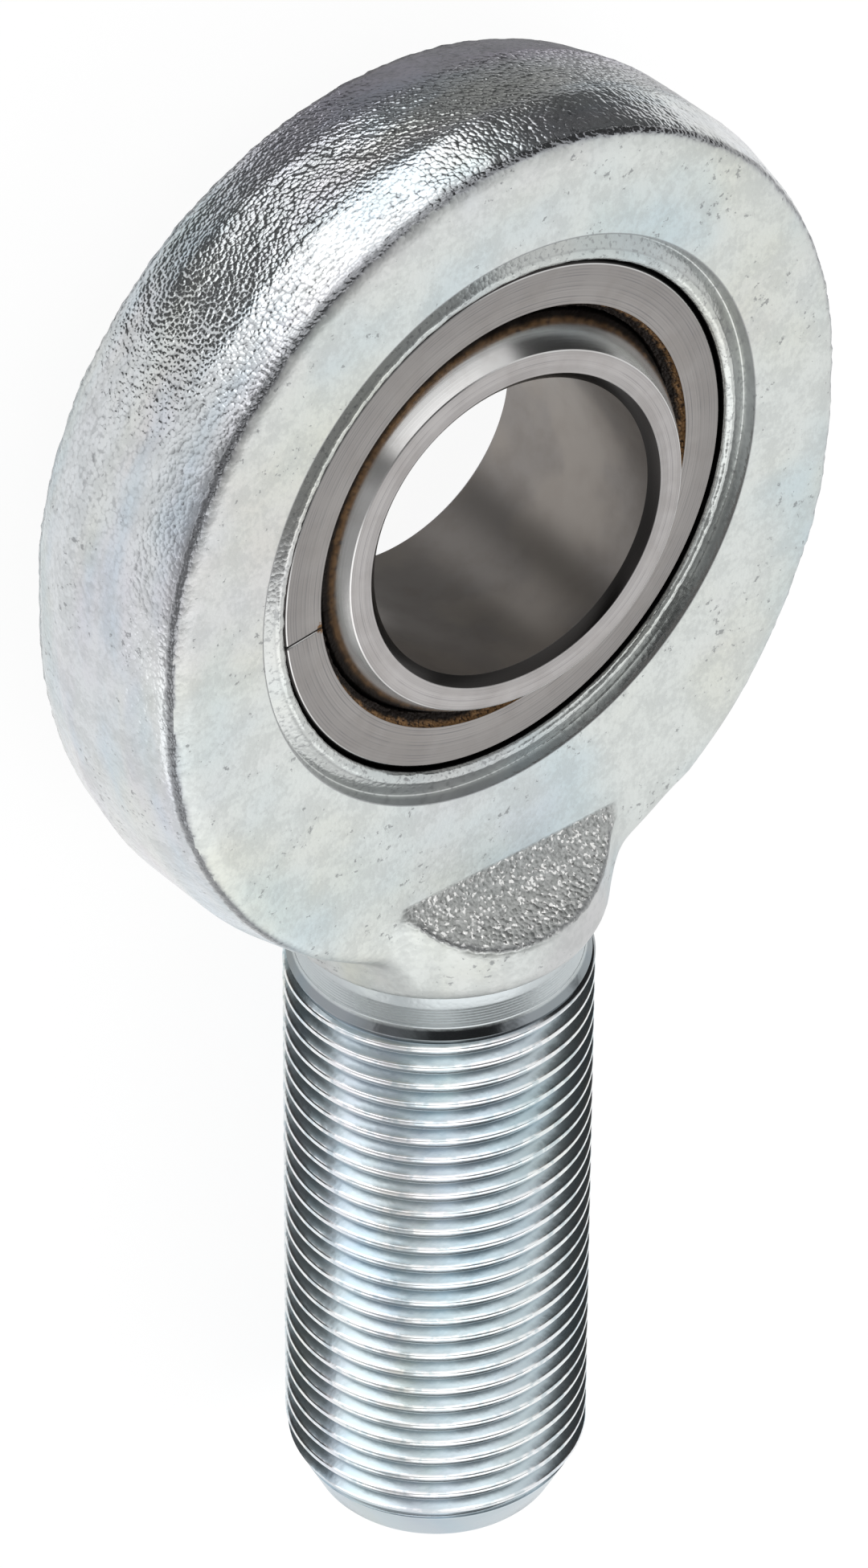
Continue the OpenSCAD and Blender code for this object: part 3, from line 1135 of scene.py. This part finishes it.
@dataclass
class Bearing:
    """Spherical plain bearing: outer ring with its liner, and the ball with its bore."""

    bore_r: float = 10.0
    ball_r: float = 14.5
    ball_half: float = 8.0
    bore_bevel: float = 0.6
    gap: float = 0.05
    liner_t: float = 1.0
    ring_half: float = 6.0
    ring_r: float = 17.5
    ring_bevel: float = 0.5
    lean: float = 5.9
    lean_direction: float = 152.0
    split_angle: float = 186.0
    split_width: float = 0.08
    mouth_bevel: float = 0.85

    def lean_axes(self) -> tuple[Vector, Vector]:
        """Axis of the leaning ball, and a direction across it.

        Returns:
            The two unit vectors.
        """
        lean = Matrix.Rotation(math.radians(self.lean), 3, "Y")
        tilt = Matrix.Rotation(math.radians(self.lean_direction), 3, "Z") @ lean
        return tilt @ UP, tilt @ Vector((1, 0, 0))

    def ball_section(self) -> list[Point]:
        """Closed section of the inner ring: bore, faces and ball surface.

        Returns:
            Points of radius and height.
        """
        half = self.ball_half
        edge = 0.05
        face_r = math.sqrt(self.ball_r**2 - half**2)
        start = math.degrees(math.asin((half - edge) / self.ball_r))
        ball = arc(self.ball_r, -start, start, 44)
        bore, bevel = self.bore_r, self.bore_bevel
        side = [(bore, half - bevel), (bore + 0.5 * bevel, half - 0.42 * bevel)]
        side += [(bore + bevel, half), (face_r - edge, half)]
        lower = [(r, -h) for r, h in side]
        return lower + ball + list(reversed(side))

    def slit(self) -> Piece:
        """A thin blade that splits the ring and liner on one side.

        Returns:
            The closed blade.
        """
        out = around(UP, self.split_angle)
        side = around(UP, self.split_angle + 90) * self.split_width
        piece = draw_profile("slit", [(out * r - side / 2 - UP * 9) * MM for r in (12, 20)])
        bpy.ops.mesh.select_all(action="SELECT")
        bpy.ops.mesh.extrude_region_move(TRANSFORM_OT_translate={"value": side * MM})
        bpy.ops.mesh.select_all(action="SELECT")
        bpy.ops.mesh.extrude_region_move(TRANSFORM_OT_translate={"value": (0, 0, 18 * MM)})
        finish_surface(piece, 30)
        return piece

    def outer_ring(self, finish: Material) -> Piece:
        """Make the split outer ring.

        Args:
            finish: Its finish.

        Returns:
            The dressed piece.
        """
        half = self.ring_half
        seat_r = self.ball_r + self.gap + self.liner_t
        reach = math.degrees(math.asin(half / seat_r))
        seat = arc(seat_r, -reach, reach, 28)
        r, bevel = self.ring_r, self.ring_bevel
        corner = [(r - bevel - 0.06, half), (r - bevel + 0.05, half - 0.05)]
        corner += [(r - 0.05, half - bevel + 0.05), (r, half - bevel - 0.06)]
        face = [(seat[-1][0] + 0.05, half), (15.6, half), (16.3, half)]
        upper = face + corner
        section = seat + upper + [(r, -h) for r, h in reversed(upper)]
        piece = turn("split_outer_ring", section, *Axis.EYE.value, 256, 24, closed=True)
        combine(piece, self.slit(), Operation.CUT)
        return dress(piece, finish, "outer_ring", "housing")

    def at_mouth(self, p: Vector) -> float:
        """Share of the liner's crumbly edge at a place in millimetres."""
        return ramp(math.hypot(p.x, p.y), 14.33, 14.2) * ramp(abs(p.z), 4.9, 5.2)

    def liner(self, finish: Material) -> Piece:
        """Make the bronze liner, with a crumbly edge at both mouths.

        Args:
            finish: Its finish.

        Returns:
            The dressed piece.
        """
        half = self.ring_half
        back_r = self.ball_r + self.gap + self.liner_t
        bore_r = self.ball_r + self.gap
        back_reach = math.degrees(math.asin(half / back_r))
        bore_reach = math.degrees(math.asin((half - self.mouth_bevel) / bore_r))
        back = arc(back_r - 0.004, -back_reach, back_reach, 12)
        bore = arc(bore_r, bore_reach, -bore_reach, 24)
        top, foot = back[-1], bore[0]
        mouth = [tuple(a + (b - a) * t / 6 for a, b in zip(top, foot)) for t in range(1, 6)]
        section = back + mouth + bore + [(r, -h) for r, h in reversed(mouth)]
        piece = turn("bronze_liner", section, *Axis.EYE.value, 420, 60, closed=True)
        edge = weigh(piece, "mouth", self.at_mouth)
        roughen(piece, edge, 0.6, 0.22)
        roughen(piece, edge, 0.25, 0.16)
        piece.vertex_groups.clear()
        combine(piece, self.slit(), Operation.CUT)
        return dress(piece, finish, "liner", "housing")

    def inner_ring(self, finish: Material) -> Piece:
        """Make the ball ring.

        Args:
            finish: Its finish.

        Returns:
            The dressed piece.
        """
        axis, across = self.lean_axes()
        piece = turn("ball_ring", self.ball_section(), axis, across, 256, 24, closed=True)
        return dress(piece, finish, "inner_ring", "inner_ring")


def dress(piece: Piece, finish: Material, node: str, body: str) -> Piece:
    """Give a piece its finish and place in the object.

    Args:
        piece: The mesh.
        finish: Its material.
        node: The solid that it stands for, which is hidden.
        body: The body that it moves with.

    Returns:
        The piece.
    """
    piece.data.materials.clear()
    piece.data.materials.append(finish)
    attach(piece, body)
    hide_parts(node)
    return piece


@dataclass(frozen=True)
class Panel:
    """A far studio panel that reflections see: a stretch of a band round an axis."""

    name: str
    axis: Vector
    middle: Vector
    half_angle: float
    low: float
    high: float
    shade: float
    soft: float = 0.05

    def mask(self, bench: Shader, direction: Socket) -> Socket:
        """Share of a direction that the panel fills.

        Args:
            bench: The world's wiring bench.
            direction: The direction's socket.

        Returns:
            1 inside the panel and 0 outside it.
        """
        height = bench.along(direction, self.axis)
        above = bench.step(height, (self.low - self.soft, self.low + self.soft))
        below = bench.step(height, (self.high + self.soft, self.high - self.soft))
        inside = bench.times(above, below)
        if self.half_angle >= 180:
            return inside
        flat = bench.math("SQRT", bench.minus(1.0001, bench.times(height, height)))
        turned = bench.math("DIVIDE", bench.along(direction, self.middle), flat)
        half = math.radians(self.half_angle)
        limits = math.cos(half + self.soft), math.cos(max(half - self.soft, 0.0))
        return bench.times(inside, bench.step(turned, limits))


def around(axis: Vector, degrees: float) -> Vector:
    """Direction at an angle round the eye's or the shank's axis.

    Args:
        axis: +Z to measure from +X towards +Y, or +Y to measure from +X towards +Z.
        degrees: The angle.

    Returns:
        The unit vector.
    """
    c, n = math.cos(math.radians(degrees)), math.sin(math.radians(degrees))
    return Vector((c, n, 0)) if axis.z else Vector((c, 0, n))


@dataclass(frozen=True)
class Studio:
    """Pale floor, white surroundings with studio panels, and a soft lamp."""

    floor_z: float
    floor_size: float = 6000.0
    floor_grey: float = 0.13
    floor_glow: float = 0.92
    plain_light: float = 0.60

    def panels(self) -> list[Panel]:
        """Dark and bright panels, in the order in which they cover each other.

        Returns:
            The panels.
        """
        up, shank = UP, SHANK_UP
        left = Vector((-0.93, 0.0, 0.30)).normalized()
        return [
            Panel("bright over the shank", shank, around(shank, 104), 44, -0.82, -0.12, 1.7, 0.06),
            Panel("grey beside it", shank, around(shank, 162), 14, -0.90, -0.40, 0.65, 0.04),
            Panel("bright strip over the shank", shank, around(shank, 186), 10, -0.82, -0.47, 1.5),
            Panel("bright behind the eye", up, around(up, 97), 33, -0.46, 0.0, 1.95),
            Panel("dark low behind", up, around(up, 93), 52, -1.2, -0.50, 0.05),
            Panel("glitter light", up, around(up, 97), 17, -0.68, -0.54, 1.8, 0.05),
            Panel("grey low on the right", up, around(up, 6), 50, -1.2, -0.62, 0.25),
            Panel("dark on the right", up, around(up, 33), 27, -0.60, 0.40, 0.04, 0.08),
            Panel("bright high behind", up, around(up, 112), 32, 0.24, 0.56, 1.6, 0.09),
            Panel("pale ground straight below", up, up, 180, -1.2, -0.94, 0.9, 0.02),
            Panel("grey overhead", up, up, 180, 0.87, 1.2, 0.25, 0.04),
            Panel("dark strip by the camera", shank, around(shank, 130), 46, 0.37, 0.64, 0.03, 0.03),
            Panel("grey on the left", left, left, 180, 0.86, 1.2, 0.45, 0.12),
        ]

    def seen_directly(self, bench: Shader) -> Socket:
        """Share of rays that come from the camera, a reflection or a pass through glass.

        Args:
            bench: The material's or world's wiring bench.

        Returns:
            1 for those rays and 0 for all others.
        """
        path = bench.add("LightPath")
        rays = ("Is Camera Ray", "Is Glossy Ray", "Is Transmission Ray")
        return bench.most(*(path.outputs[ray] for ray in rays))

    def floor(self) -> None:
        """Lay the floor: matt and pale, and white where it is seen without a shadow."""
        clear_selection()
        bpy.ops.mesh.primitive_plane_add(size=self.floor_size * MM, location=(0, 0, self.floor_z))
        ground = bpy.context.object
        ground.name = "floor"
        bpy.ops.object.transform_apply(location=True, rotation=True, scale=True)
        bpy.ops.object.mode_set(mode="EDIT")
        bpy.ops.mesh.subdivide(number_cuts=3)
        bpy.ops.object.mode_set(mode="OBJECT")
        material, bench, principled = new_material("pale floor")
        bench.feed(principled, {"Base Color": (self.floor_grey,) * 3, "Emission Color": (1.0, 1.0, 1.0)})
        glow = bench.times(self.seen_directly(bench), self.floor_glow)
        bench.feed(principled, {"Roughness": 0.9, "Specular IOR Level": 0.0, "Emission Strength": glow})
        ground.data.materials.append(material)
        ground.visible_glossy = False
        ground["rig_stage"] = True

    def surroundings(self) -> None:
        """White surroundings: plain light on matt surfaces, and panels where they are reflected."""
        world = bpy.data.worlds.new("white room")
        bpy.context.scene.world = world
        world.use_nodes = True
        bench = Shader(world.node_tree)
        back = world.node_tree.nodes["Background"].inputs
        direction = bench.add("TexCoord").outputs["Generated"]
        shade = 1.0
        for panel in self.panels():
            mask = panel.mask(bench, direction)
            keep = bench.times(shade, bench.minus(1.0, mask))
            shade = bench.plus(keep, bench.times(mask, panel.shade))
        path = bench.add("LightPath").outputs
        glossy = path["Is Glossy Ray"]
        straight = bench.most(path["Is Camera Ray"], path["Is Transmission Ray"])
        others = bench.minus(1.0, bench.most(straight, glossy))
        seen = bench.plus(bench.times(shade, glossy), straight)
        strength = bench.plus(seen, bench.times(others, self.plain_light))
        bench.feed(back, {"Color": (1.0, 1.0, 1.0), "Strength": strength})

    def lamp(self, name: str, towards: Vector, distance: float, size: float, radiance: float) -> None:
        """Hang a soft square lamp that faces the object.

        Args:
            name: Name of the lamp.
            towards: Direction from the object to the lamp.
            distance: Distance in millimetres.
            size: Side of the square in millimetres.
            radiance: Brightness of its surface, where 1 is white.
        """
        data = bpy.data.lights.new(name, "AREA")
        data.shape = "SQUARE"
        data.size = size * MM
        data.energy = math.pi * (size * MM) ** 2 * radiance
        lamp = bpy.data.objects.new(name, data)
        bpy.context.scene.collection.objects.link(lamp)
        lamp.location = (Vector((0, -26, 0)) + towards.normalized() * distance) * MM
        lamp.rotation_euler = (-towards).to_track_quat("-Z", "Y").to_euler()
        lamp.visible_glossy = False

    def build(self) -> None:
        """Set up the floor, surroundings and lamp."""
        self.floor()
        self.surroundings()
        self.lamp("key light", Vector((0.6, -0.75, 1.0)), 900, 700, 1.1)


@dataclass(frozen=True)
class PhotoCamera:
    """Camera at the photograph's viewing angle, fitted to the object's edges."""

    azimuth: float = 39.860
    elevation: float = 37.761
    roll: float = 0.376
    focal_px: float = 10724.78
    distance: float = 522.704
    centre_u: float = 550.305
    centre_v: float = 588.125
    sensor: float = 36.0

    def build(self) -> Piece:
        """Place the camera.

        Returns:
            The camera object.
        """
        az, el, roll = (math.radians(angle) for angle in (self.azimuth, self.elevation, self.roll))
        level = UP * math.cos(az) - Vector((1, 0, 0)) * math.sin(az)
        view = level * math.cos(el) + SHANK_UP * math.sin(el)
        right = SHANK_UP.cross(view).normalized()
        up = view.cross(right)
        right_r = right * math.cos(roll) + up * math.sin(roll)
        up_r = up * math.cos(roll) - right * math.sin(roll)
        cx = (self.centre_u - PHOTO_WIDTH / 2) / self.focal_px * self.distance
        cy = -(self.centre_v - PHOTO_HEIGHT / 2) / self.focal_px * self.distance
        place = (view * self.distance - right_r * cx - up_r * cy) * MM
        data = bpy.data.cameras.new("photo camera")
        data.sensor_width = self.sensor
        data.lens = self.focal_px / PHOTO_HEIGHT * self.sensor
        data.clip_start = 0.01
        data.clip_end = 100.0
        camera = bpy.data.objects.new("photo camera", data)
        bpy.context.scene.collection.objects.link(camera)
        turn_to = Matrix((right_r, up_r, view)).transposed().to_4x4()
        camera.matrix_world = Matrix.Translation(place) @ turn_to
        bpy.context.scene.camera = camera
        return camera


def report(piece: Piece) -> None:
    """Log a finished piece's name and number of faces."""
    LOG.info("%s: %d faces", piece.name, len(piece.data.polygons))


def main() -> None:
    """Build the pieces, the studio and the camera."""
    logging.basicConfig(level=logging.INFO, format="%(name)s: %(message)s")
    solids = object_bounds()
    bpy.context.scene.view_settings.view_transform = "Standard"
    PhotoCamera().build()
    effects = SurfaceEffects(make_grain_group(), make_tint_group(), make_scuff_group())
    report(Housing().build(ZincPlate().build(effects)))
    bearing = Bearing()
    axis, across = bearing.lean_axes()
    ball_finish = GroundSteel("polished bearing steel", axis, across, soil_and_shade_amount=0.7)
    ring_finish = GroundSteel(
        "ground bearing steel", *Axis.EYE.value, face=(0.315, 0.30, 0.29), split_angle=bearing.split_angle
    )
    report(bearing.inner_ring(ball_finish.build()))
    report(bearing.outer_ring(ring_finish.build()))
    report(bearing.liner(SinteredBronze().build(effects)))
    Studio(solids[0][2]).build()


if __name__ == "__main__":
    main()
